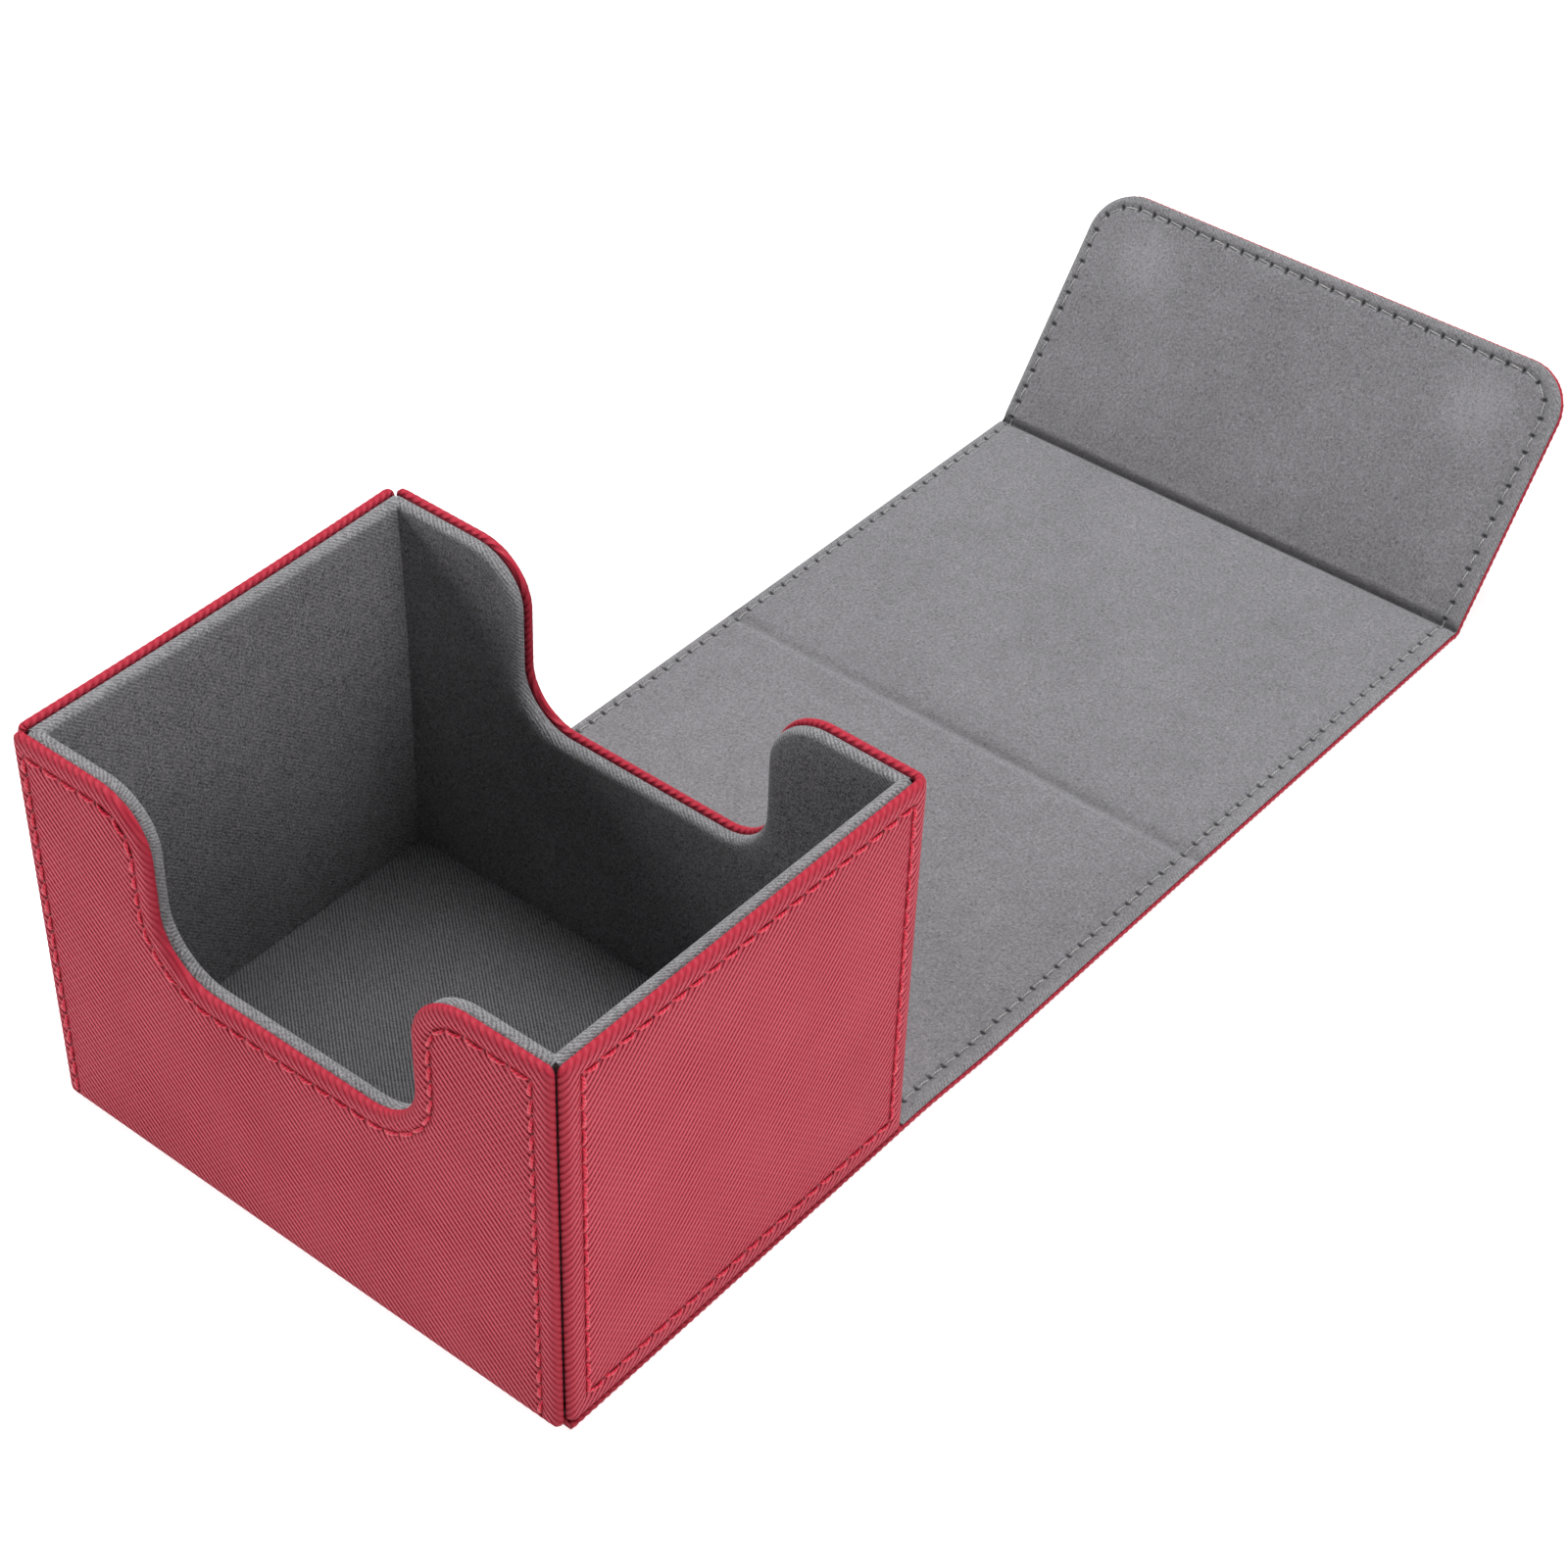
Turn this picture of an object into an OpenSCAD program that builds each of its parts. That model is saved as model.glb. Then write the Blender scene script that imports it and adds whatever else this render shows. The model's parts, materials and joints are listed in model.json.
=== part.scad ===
// Card deck box: a leather-covered tray with a padded lining and a long hinged cover.
// The frame's origin is the centre of the tray's underside, +X runs to the right along
// the front wall, +Y to the back, where the open cover lies, and +Z up. Millimetres.

/* [Tray] */
// Outer width of the tray, along the front wall
box_w = 105; // [95:0.5:125]
// Outer depth of the tray, from front wall to back wall
box_d = 79.2; // [70:0.1:100]
// Height of the walls above the table
box_h = 73.6; // [66:0.1:90]

/* [Finger notches] */
// Width of the notch between its straight sides
notch_w = 51.2; // [36:0.2:56]
// Depth of the notch below the rim
notch_depth = 29.9; // [26:0.1:34]
// Radius of the notch's shoulders and of its lower corners
notch_r = 10; // [7:0.5:12]

/* [Walls] */
// Thickness of the leather over a wall's outer face and rims
skin_t = 0.7; // [0.5:0.1:0.9]
// Thickness of the stiff board under the leather
board_t = 1.3; // [1:0.1:1.6]
// Thickness of the card inside a lining panel
card_t = 1; // [0.8:0.1:1.2]
// Thickness of the lining over its card
lining_t = 1.2; // [0.9:0.1:1.5]
// How far the lining's rim lies below the leather's rim
lining_drop = 0.4; // [0.2:0.1:0.8]
// Clearance cut from each mitred end of a wall
corner_gap = 0.1; // [0.05:0.05:0.2]

/* [Floor] */
// Thickness of the card under the floor lining
floor_card_t = 1.5; // [1:0.1:2]
// Thickness of the floor lining over its card
floor_lining_t = 2.4; // [1.5:0.1:3]

/* [Cover] */
// Thickness of the leather under the base, the cover and the flap
strip_skin_t = 0.5; // [0.4:0.1:0.6]
// Thickness of the board in the base and in each cover panel
strip_board_t = 0.8; // [0.6:0.1:1]
// Thickness of the cover's lining
sheet_t = 0.5; // [0.4:0.1:0.6]
// Width of the turned leather edge beside the cover's boards
turned_edge = 0.6; // [0.5:0.1:1]
// Distance from the back wall's outer face to the rear hinge line
rear_hinge_gap = 3; // [2.6:0.1:3.4]
// Distance from the back wall's outer face to the crease between back cover and lid
lid_crease = 82.5; // [80:0.1:86]
// Distance from the back wall's outer face to the crease between lid and flap
flap_crease = 169.4; // [167:0.1:175]
// Length of the flap beyond its crease
flap_len = 52.4; // [46:0.1:60]
// Radius of the flap's outer corners
flap_corner_r = 9.5; // [6:0.5:14]
// Angle by which the flap stands raised when the cover lies open
flap_raised = 53; // [40:1:60]

/* [Magnets] */
// Diameter of each disc magnet
magnet_d = 12; // [8:0.5:14]
// Distance of each magnet from the middle of the box
magnet_x = 37; // [34:0.5:40]
// Distance from the flap's crease to its magnets
magnet_s = 40.4; // [36:0.2:42]

/* [Seams] */
// Distance from one stitch to the next
stitch_pitch = 3.5; // [3.2:0.1:4]
// Length of a stitch's visible thread
stitch_len = 2.5; // [1.8:0.1:2.8]
// Width of the thread
thread_w = 0.5; // [0.3:0.05:0.6]
// Height of the thread above the surface
thread_h = 0.25; // [0.15:0.05:0.3]
// Distance of the seams from the walls' edges
seam_inset = 3.7; // [3:0.1:4.5]
// Distance of the seam from the cover's side edges
cover_seam_inset = 2.6; // [2:0.1:4]

/* [Hidden] */
$fn = 64;
shell_t = skin_t + board_t;
panel_t = card_t + lining_t;
wall_t = shell_t + panel_t;
rim_fabric_t = 0.8;
strip_t = strip_skin_t + strip_board_t;
cover_t = strip_t + sheet_t;
floor_z = strip_t + floor_card_t + floor_lining_t;
overcut = 1;

// The creases turn about the top of the cover's leather.
hinge_z = strip_skin_t;
rear_hinge_y = box_d / 2 + rear_hinge_gap;
lid_hinge_y = box_d / 2 + lid_crease;
flap_hinge_y = box_d / 2 + flap_crease;
slit = 0.15;
fold_relief = 1.6;
base_board_gap = 0.6;

// With the lid closed, the flap's crease is this high, and its magnets face the front wall's.
lid_slope = 3.1;
closed_crease_z = hinge_z + lid_hinge_y - rear_hinge_y
                  - (flap_hinge_y - lid_hinge_y) * sin(lid_slope);
magnet_z = closed_crease_z - magnet_s;

leather_red = [0.68, 0.17, 0.24];
thread_red = [0.82, 0.16, 0.25];
fabric_grey = [0.46, 0.46, 0.48];
thread_grey = [0.68, 0.68, 0.69];
board_grey = [0.40, 0.38, 0.36];
card_grey = [0.33, 0.33, 0.34];
steel = [0.75, 0.75, 0.77];

// ---- Walls. Each is drawn facing -Y: X along the wall, Y into it, Z up. ----

// Opening of a finger notch, with its edges moved outwards by grow.
module notch_opening(top, grow) {
    half = notch_w / 2 + grow;
    low = box_h - notch_depth - grow;
    lower_r = notch_r + grow;
    shoulder_r = notch_r - grow;
    difference() {
        union() {
            translate([-half + lower_r, low]) square([2 * (half - lower_r), lower_r + overcut]);
            translate([-half, low + lower_r]) square([2 * half, top + overcut - low - lower_r]);
            for (side = [-1, 1])
                translate([side * (half - lower_r), low + lower_r]) circle(lower_r);
            translate([-half - shoulder_r, top - shoulder_r])
                square([2 * (half + shoulder_r), shoulder_r + overcut]);
        }
        for (side = [-1, 1])
            translate([side * (half + shoulder_r), top - shoulder_r]) circle(shoulder_r);
    }
}

// Face of a wall from z = bottom to z = top, with its notch's edge moved back by cut.
module wall_face(length, bottom, top, notched, cut) {
    difference() {
        translate([-length / 2, bottom]) square([length, top - bottom]);
        if (notched) notch_opening(top, cut);
    }
}

module upright(depth_from, depth_to) {
    translate([0, depth_to, 0]) rotate([90, 0, 0])
        linear_extrude(depth_to - depth_from) children();
}

// A wall layer between two depths, mitred at both ends.
module mitred_layer(length, bottom, top, notched, cut, depth_from, depth_to) {
    half_from = length / 2 - depth_from - corner_gap;
    half_to = length / 2 - depth_to - corner_gap;
    intersection() {
        upright(depth_from, depth_to) wall_face(length, bottom, top, notched, cut);
        translate([0, 0, bottom - overcut]) linear_extrude(top - bottom + 2 * overcut)
            polygon([[-half_from, depth_from], [half_from, depth_from],
                     [half_to, depth_to], [-half_to, depth_to]]);
    }
}

module wall_board(length, bottom, notched) {
    color(board_grey) upright(skin_t, shell_t)
        wall_face(length - 2 * (shell_t + skin_t), bottom + skin_t, box_h - skin_t, notched, skin_t);
}

module wall_leather(length, bottom, notched) {
    color(leather_red) difference() {
        mitred_layer(length, bottom, box_h, notched, 0, 0, shell_t);
        upright(skin_t, shell_t + overcut) wall_face(length - 2 * (shell_t + skin_t),
            bottom + skin_t, box_h - skin_t, notched, skin_t);
    }
}

module wall_card(length, notched) {
    color(card_grey) upright(shell_t, shell_t + card_t)
        wall_face(length - 2 * (wall_t + rim_fabric_t), floor_z, box_h - lining_drop - rim_fabric_t,
                  notched, lining_drop + rim_fabric_t);
}

module wall_lining(length, notched) {
    color(fabric_grey) difference() {
        mitred_layer(length, floor_z, box_h - lining_drop, notched, lining_drop, shell_t, wall_t);
        upright(shell_t - overcut, shell_t + card_t)
            wall_face(length - 2 * (wall_t + rim_fabric_t), floor_z - overcut,
                      box_h - lining_drop - rim_fabric_t, notched, lining_drop + rim_fabric_t);
    }
}

// ---- Seams. A route is a list of [x, y, heading, length, radius]: radius 0 runs
// straight, a positive radius turns left and a negative one turns right. ----

function bend(seg, s) = seg[4] == 0 ? 0 : s / seg[4] * 180 / PI;
function point_at(seg, s) = seg[4] == 0
    ? [seg[0] + s * cos(seg[2]), seg[1] + s * sin(seg[2])]
    : [seg[0] + seg[4] * (sin(seg[2] + bend(seg, s)) - sin(seg[2])),
       seg[1] - seg[4] * (cos(seg[2] + bend(seg, s)) - cos(seg[2]))];
function heading_at(seg, s) = seg[2] + bend(seg, s);

// Stitches along a route, as flat-bottomed threads that stand up from z = 0.
module stitches(route) {
    for (seg = route) {
        count = max(1, round(seg[3] / stitch_pitch));
        step = seg[3] / count;
        for (i = [0 : count - 1])
            translate(point_at(seg, (i + 0.5) * step)) rotate(heading_at(seg, (i + 0.5) * step))
                translate([-stitch_len / 2, -thread_w / 2, 0]) cube([stitch_len, thread_w, thread_h]);
    }
}

// Seam of a wall: up the left side, along the top and down the right side.
function plain_route(length, bottom) =
    let (x = length / 2 - seam_inset, low = bottom + seam_inset, high = box_h - seam_inset)
    [[-x, low, 90, high - low, 0], [-x, high, 0, 2 * x, 0],
     [x, high, -90, high - low, 0], [x, low, 180, 2 * x, 0]];

function notched_route(length, bottom, closed) =
    let (x = length / 2 - seam_inset, low = bottom + seam_inset, high = box_h - seam_inset,
         shoulder_r = notch_r - seam_inset, lower_r = notch_r + seam_inset,
         side_x = notch_w / 2 + seam_inset, floor_y = box_h - notch_depth - seam_inset,
         shoulder_x = side_x + shoulder_r, flat_x = side_x - lower_r,
         drop = high - shoulder_r - floor_y - lower_r, quarter = PI / 2)
    concat(
        [[-x, low, 90, high - low, 0],
         [-x, high, 0, x - shoulder_x, 0],
         [-shoulder_x, high, 0, quarter * shoulder_r, -shoulder_r],
         [-side_x, high - shoulder_r, -90, drop, 0],
         [-side_x, floor_y + lower_r, -90, quarter * lower_r, lower_r],
         [-flat_x, floor_y, 0, 2 * flat_x, 0],
         [flat_x, floor_y, 0, quarter * lower_r, lower_r],
         [side_x, floor_y + lower_r, 90, drop, 0],
         [side_x, high - shoulder_r, 90, quarter * shoulder_r, -shoulder_r],
         [shoulder_x, high, 0, x - shoulder_x, 0],
         [x, high, -90, high - low, 0]],
        closed ? [[x, low, 180, 2 * x, 0]] : []);

module wall_thread(route) {
    color(thread_red) rotate([90, 0, 0]) stitches(route);
}

// ---- Where each wall stands ----

module at_front() { translate([0, -box_d / 2, 0]) children(); }
module at_right() { translate([box_w / 2, 0, 0]) rotate([0, 0, 90]) children(); }
module at_back() { translate([0, box_d / 2, 0]) rotate([0, 0, 180]) children(); }
module at_left() { translate([-box_w / 2, 0, 0]) rotate([0, 0, -90]) children(); }

// ---- Base and floor ----

module base_board() {
    inside = box_w / 2 - turned_edge;
    front_y = -box_d / 2 + shell_t;
    color(board_grey) translate([-inside, front_y, strip_skin_t])
        cube([2 * inside, box_d - shell_t - base_board_gap, strip_board_t]);
}

module base_leather() {
    half = box_w / 2;
    front_y = -box_d / 2;
    back_y = box_d / 2 + base_board_gap;
    inside = half - turned_edge;
    color(leather_red) {
        difference() {
            linear_extrude(strip_t)
                polygon([[-half, front_y + corner_gap], [-half + shell_t, front_y + shell_t],
                         [half - shell_t, front_y + shell_t], [half, front_y + corner_gap],
                         [half, back_y], [-half, back_y]]);
            translate([-inside, front_y + shell_t - overcut, strip_skin_t])
                cube([2 * inside, box_d - shell_t - base_board_gap + overcut, strip_board_t + overcut]);
        }
        translate([-half, back_y, 0])
            cube([box_w, rear_hinge_y - slit - back_y, strip_skin_t]);
    }
}

module floor_card() {
    w = box_w - 2 * shell_t;
    d = box_d - 2 * shell_t;
    color(card_grey) translate([-w / 2, -d / 2, strip_t]) cube([w, d, floor_card_t]);
}

module floor_lining() {
    w = box_w - 2 * shell_t;
    d = box_d - 2 * shell_t;
    color(fabric_grey) translate([-w / 2, -d / 2, strip_t + floor_card_t])
        cube([w, d, floor_lining_t]);
}

// ---- Walls' own pieces ----

module disc_magnets(thickness) {
    for (side = [-1, 1]) translate([side * magnet_x, 0, 0]) cylinder(d = magnet_d, h = thickness);
}

module front_magnets() {
    color(steel) at_front() translate([0, shell_t, magnet_z]) rotate([90, 0, 0])
        disc_magnets(board_t);
}

module front_board() {
    difference() {
        at_front() wall_board(box_w, 0, true);
        color(board_grey) at_front() translate([0, shell_t + overcut, magnet_z])
            rotate([90, 0, 0]) disc_magnets(board_t + overcut + skin_t / 2);
    }
}

module front_leather() { at_front() wall_leather(box_w, 0, true); }
module front_card() { at_front() wall_card(box_w, true); }
module front_lining() { at_front() wall_lining(box_w, true); }
module front_thread() { at_front() wall_thread(notched_route(box_w, 0, false)); }

module right_leather() { at_right() wall_leather(box_d, strip_t, false); }
module right_board() { at_right() wall_board(box_d, strip_t, false); }
module right_card() { at_right() wall_card(box_d, false); }
module right_lining() { at_right() wall_lining(box_d, false); }
module right_thread() { at_right() wall_thread(plain_route(box_d, strip_t)); }

module back_leather() { at_back() wall_leather(box_w, strip_t, true); }
module back_board() { at_back() wall_board(box_w, strip_t, true); }
module back_card() { at_back() wall_card(box_w, true); }
module back_lining() { at_back() wall_lining(box_w, true); }
module back_thread() { at_back() wall_thread(notched_route(box_w, strip_t, true)); }

module left_leather() { at_left() wall_leather(box_d, strip_t, false); }
module left_board() { at_left() wall_board(box_d, strip_t, false); }
module left_card() { at_left() wall_card(box_d, false); }
module left_lining() { at_left() wall_lining(box_d, false); }
module left_thread() { at_left() wall_thread(plain_route(box_d, strip_t)); }

// ---- Cover panels. Each is drawn from its own crease at y = 0, with the crease's
// turning line at z = hinge_z, and runs along +Y. ----

module panel_leather(length) {
    inside = box_w / 2 - turned_edge;
    color(leather_red) {
        translate([-box_w / 2, slit, 0]) cube([box_w, length - 2 * slit, strip_skin_t]);
        for (side = [-1, 1])
            translate([side * (inside + turned_edge / 2) - turned_edge / 2, fold_relief, 0])
                cube([turned_edge, length - 2 * fold_relief, strip_t]);
    }
}

module panel_board(length) {
    inside = box_w / 2 - turned_edge;
    color(board_grey) translate([-inside, fold_relief, strip_skin_t])
        cube([2 * inside, length - 2 * fold_relief, strip_board_t]);
}

module panel_lining(length) {
    color(fabric_grey) translate([-box_w / 2, fold_relief, strip_t])
        cube([box_w, length - 2 * fold_relief, sheet_t]);
}

module panel_thread(length) {
    x = box_w / 2 - cover_seam_inset;
    run = length - 2 * fold_relief;
    color(thread_grey) translate([0, 0, cover_t])
        stitches([[-x, fold_relief, 90, run, 0], [x, fold_relief, 90, run, 0]]);
}

back_cover_len = lid_hinge_y - rear_hinge_y;
lid_len = flap_hinge_y - lid_hinge_y;

module at_back_cover() { translate([0, rear_hinge_y, 0]) children(); }
module at_lid() { translate([0, lid_hinge_y, 0]) children(); }
module at_flap() {
    translate([0, flap_hinge_y, hinge_z]) rotate([flap_raised, 0, 0])
        translate([0, 0, -hinge_z]) children();
}

module back_cover_leather() { at_back_cover() panel_leather(back_cover_len); }
module back_cover_board() { at_back_cover() panel_board(back_cover_len); }
module back_cover_lining() { at_back_cover() panel_lining(back_cover_len); }
module back_cover_thread() { at_back_cover() panel_thread(back_cover_len); }

module lid_leather() { at_lid() panel_leather(lid_len); }
module lid_board() { at_lid() panel_board(lid_len); }
module lid_lining() { at_lid() panel_lining(lid_len); }
module lid_thread() { at_lid() panel_thread(lid_len); }

// Outline of the flap from y = start, drawn in by inset at its sides and its free end.
module flap_outline(start, inset) {
    half = box_w / 2 - inset;
    end = flap_len - inset;
    r = flap_corner_r - inset;
    translate([-half, start]) square([2 * half, end - r - start]);
    translate([-half + r, start]) square([2 * (half - r), end - start]);
    for (side = [-1, 1]) translate([side * (half - r), end - r]) circle(r);
}

module flap_leather() {
    color(leather_red) at_flap() {
        linear_extrude(strip_skin_t) flap_outline(slit, 0);
        difference() {
            linear_extrude(strip_t) flap_outline(fold_relief, 0);
            translate([0, 0, strip_skin_t]) linear_extrude(strip_board_t + overcut)
                flap_outline(fold_relief - overcut, turned_edge);
        }
    }
}

module flap_board() {
    color(board_grey) at_flap() difference() {
        translate([0, 0, strip_skin_t]) linear_extrude(strip_board_t)
            flap_outline(fold_relief, turned_edge);
        translate([0, magnet_s, strip_skin_t - overcut]) disc_magnets(strip_board_t + 2 * overcut);
    }
}

module flap_magnets() {
    color(steel) at_flap() translate([0, magnet_s, strip_skin_t]) disc_magnets(strip_board_t);
}

module flap_lining() {
    color(fabric_grey) at_flap() translate([0, 0, strip_t]) linear_extrude(sheet_t)
        flap_outline(fold_relief, 0);
}

module flap_thread() {
    x = box_w / 2 - cover_seam_inset;
    end = flap_len - cover_seam_inset;
    r = flap_corner_r - cover_seam_inset;
    side_run = end - r - fold_relief;
    color(thread_grey) at_flap() translate([0, 0, cover_t])
        stitches([[-x, fold_relief, 90, side_run, 0],
                  [-x, end - r, 90, PI / 2 * r, -r],
                  [-x + r, end, 0, 2 * (x - r), 0],
                  [x - r, end, 0, PI / 2 * r, -r],
                  [x, end - r, -90, side_run, 0]]);
}

base_leather();
base_board();
floor_card();
floor_lining();
front_leather();
front_board();
front_card();
front_lining();
front_magnets();
front_thread();
right_leather();
right_board();
right_card();
right_lining();
right_thread();
back_leather();
back_board();
back_card();
back_lining();
back_thread();
left_leather();
left_board();
left_card();
left_lining();
left_thread();
back_cover_leather();
back_cover_board();
back_cover_lining();
back_cover_thread();
lid_leather();
lid_board();
lid_lining();
lid_thread();
flap_leather();
flap_board();
flap_lining();
flap_magnets();
flap_thread();
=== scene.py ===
"""Looks of the card deck box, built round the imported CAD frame.

Crimson twill-embossed leather over boards, a grey knitted lining, sewn edges and a long
hinged cover. Sizes inside the script are in millimetres and go to metres in make_mesh().
"""

import json
import math

import bpy
import numpy as np
from mathutils import Matrix, Vector
from mathutils.geometry import delaunay_2d_cdt
from mathutils.kdtree import KDTree


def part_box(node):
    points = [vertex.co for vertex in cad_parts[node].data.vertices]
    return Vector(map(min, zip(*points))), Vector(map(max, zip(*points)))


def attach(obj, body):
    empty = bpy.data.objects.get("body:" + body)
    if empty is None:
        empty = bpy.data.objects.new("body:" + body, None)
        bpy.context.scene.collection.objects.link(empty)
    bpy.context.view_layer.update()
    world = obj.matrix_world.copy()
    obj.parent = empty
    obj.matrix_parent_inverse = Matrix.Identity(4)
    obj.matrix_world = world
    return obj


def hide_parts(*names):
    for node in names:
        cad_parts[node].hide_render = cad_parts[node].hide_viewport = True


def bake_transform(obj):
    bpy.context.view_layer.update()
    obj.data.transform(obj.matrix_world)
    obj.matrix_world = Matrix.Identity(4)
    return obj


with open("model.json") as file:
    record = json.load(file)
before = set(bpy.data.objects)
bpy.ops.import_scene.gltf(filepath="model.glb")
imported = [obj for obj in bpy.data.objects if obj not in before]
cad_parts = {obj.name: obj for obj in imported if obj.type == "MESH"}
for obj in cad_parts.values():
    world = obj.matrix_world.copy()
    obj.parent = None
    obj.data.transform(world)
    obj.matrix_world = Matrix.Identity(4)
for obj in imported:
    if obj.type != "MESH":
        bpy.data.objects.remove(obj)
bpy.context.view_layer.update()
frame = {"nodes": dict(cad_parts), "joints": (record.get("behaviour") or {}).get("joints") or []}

MM = 0.001


# ---- sizes from the frame

def box_mm(node):
    low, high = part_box(node)
    return np.array(low) / MM, np.array(high) / MM


def hinge_mm(name):
    joint = next(j for j in frame["joints"] if j["name"] == name)
    return np.array(joint["pos_m"]) / MM


FRONT_LOW, FRONT_HIGH = box_mm("front_leather")
LINING_HIGH = box_mm("front_lining")[1]
FLOOR_LOW, FLOOR_HIGH = box_mm("floor_lining")

HALF_W = box_mm("base_leather")[1][0]         # half the tray's outer width
HALF_D = -FRONT_LOW[1]                # half the tray's outer depth
TOP = FRONT_HIGH[2]                   # rim of the leather
LINING_TOP = LINING_HIGH[2]           # rim of the lining
WALL_T = LINING_HIGH[1] - FRONT_LOW[1]        # a whole wall
SHELL_T = 1.5                         # leather and board, pressed
SHELL_GAP = 0.3                       # between them and the padded lining
PANEL_T = WALL_T - SHELL_GAP - SHELL_T        # padded lining and its card
STRIP_T = box_mm("right_leather")[0][2]       # leather and board of the base and the cover
COVER_T = box_mm("lid_lining")[1][2]  # the same with its lining
FLOOR_Z = FLOOR_HIGH[2]               # top of the floor lining
REAR_Y, HINGE_Z = hinge_mm("back_cover_fold")[1:]
LID_Y = hinge_mm("lid_fold")[1]
FLAP_Y = hinge_mm("flap_fold")[1]
FLAP_LEN = 52.4                       # from its crease to its end
FLAP_ANGLE = math.radians(53)         # how far it is raised at rest
FLAP_CORNER_R = 9.5

NOTCH_HALF = 25.6                     # finger notches, front and back
NOTCH_LOW = TOP - 29.9
NOTCH_R = 10.0

ROLL_OUT = 0.9                        # rolled leather edges: outer and inner radius
ROLL_IN = 0.6
CORNER_SLIT = 0.07                    # between two walls' rolled edges
WALL_HALF_W = HALF_W - ROLL_OUT * math.sqrt(2) - CORNER_SLIT
WALL_HALF_D = HALF_D - ROLL_OUT * math.sqrt(2) - CORNER_SLIT
FRONT_LEFT = HALF_W + 0.35            # the front wall's left end covers the left wall's

STITCH = 3.5                          # one stitch on the walls
COVER_STITCH = 3.4                    # one stitch on the cover


# ---- outlines

def smoothstep(t):
    t = np.clip(t, 0, 1)
    return t * t * (3 - 2 * t)


def fillet_path(corners, step=None, counts=None):
    """Closed outline through (x, y, radius) corners. Returns its points and the number
    of steps that each arc and each straight takes, so another outline can repeat them."""
    points, used = [], []
    n = len(corners)
    arcs = []
    for i in range(n):
        p = np.array(corners[i][:2], float)
        a = np.array(corners[i - 1][:2], float)
        b = np.array(corners[(i + 1) % n][:2], float)
        d1 = (p - a) / np.linalg.norm(p - a)
        d2 = (b - p) / np.linalg.norm(b - p)
        turn = math.atan2(d1[0] * d2[1] - d1[1] * d2[0], float(d1 @ d2))
        r = max(corners[i][2], 0.0)
        reach = r * math.tan(abs(turn) / 2)
        side = math.copysign(1, turn)
        start = p - d1 * reach
        centre = start + np.array([-d1[1], d1[0]]) * side * r
        arcs.append((start, p + d2 * reach, centre, turn, r))
    for i in range(n):
        start, end, centre, turn, r = arcs[i]
        following = arcs[(i + 1) % n][0]
        arc_len, line_len = abs(turn) * r, np.linalg.norm(following - end)
        if counts is None:
            arc_n = 0 if arc_len < 1e-6 else max(1, round(arc_len / step))
            line_n = max(1, round(line_len / step))
        else:
            arc_n, line_n = counts[i]
        used.append((arc_n, line_n))
        for k in range(arc_n):
            c, s = math.cos(turn * k / arc_n), math.sin(turn * k / arc_n)
            v = start - centre
            points.append(centre + np.array([v[0] * c - v[1] * s, v[0] * s + v[1] * c]))
        for k in range(line_n):
            points.append(end + (following - end) * k / line_n)
    return np.array(points), used


class Path:
    """A line of close points. near() says how far points are from it, where along it,
    counted in its points, and on which side: 1 is to the left."""

    def __init__(self, points, closed=True):
        self.points, self.closed = np.asarray(points, float), closed
        self.tree = KDTree(len(self.points))
        for i, (x, y) in enumerate(self.points):
            self.tree.insert((x, y, 0.0), i)
        self.tree.balance()

    def near(self, points):
        points = np.asarray(points, float).reshape(-1, 2)
        find, n = self.tree.find, len(self.points)
        index = np.array([find((x, y, 0.0))[1] for x, y in points], int)
        best = np.full(len(points), 1e9)
        place, side = np.zeros(len(points)), np.ones(len(points))
        for shift in (-1, 0):
            low = index + shift
            valid = np.ones(len(points), bool) if self.closed else (low >= 0) & (low < n - 1)
            low = low % n
            a, b = self.points[low], self.points[(low + 1) % n]
            ab, ap = b - a, points - a
            t = np.clip((ap * ab).sum(1) / np.maximum((ab ** 2).sum(1), 1e-12), 0, 1)
            d = np.linalg.norm(ap - t[:, None] * ab, axis=1)
            better = valid & (d < best)
            best = np.where(better, d, best)
            place = np.where(better, low + t, place)
            turn = ab[:, 0] * ap[:, 1] - ab[:, 1] * ap[:, 0]
            side = np.where(better, np.where(turn >= 0, 1.0, -1.0), side)
        return best, place, side


def inside(points, loop):
    a, b = loop, np.roll(loop, -1, axis=0)
    x, y = points[:, :1], points[:, 1:]
    crosses = (a[:, 1] > y) != (b[:, 1] > y)
    with np.errstate(divide="ignore", invalid="ignore"):
        at = a[:, 0] + (y - a[:, 1]) * (b[:, 0] - a[:, 0]) / (b[:, 1] - a[:, 1])
    return ((x < at) & crosses).sum(1) % 2 == 1


def thin_out(points, spacing, kept):
    """Drops points that lie within spacing of one kept before them."""
    cells = {}

    def cell(p):
        return int(p[0] // spacing), int(p[1] // spacing)

    for p in kept:
        cells.setdefault(cell(p), []).append(p)
    out = []
    for p in points:
        cx, cy = cell(p)
        near = (q for i in (-1, 0, 1) for j in (-1, 0, 1)
                for q in cells.get((cx + i, cy + j), ()))
        if all((p[0] - q[0]) ** 2 + (p[1] - q[1]) ** 2 >= spacing ** 2 for q in near):
            out.append(p)
            cells.setdefault((cx, cy), []).append(p)
    return np.array(out).reshape(-1, 2)


# ---- seams

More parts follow.
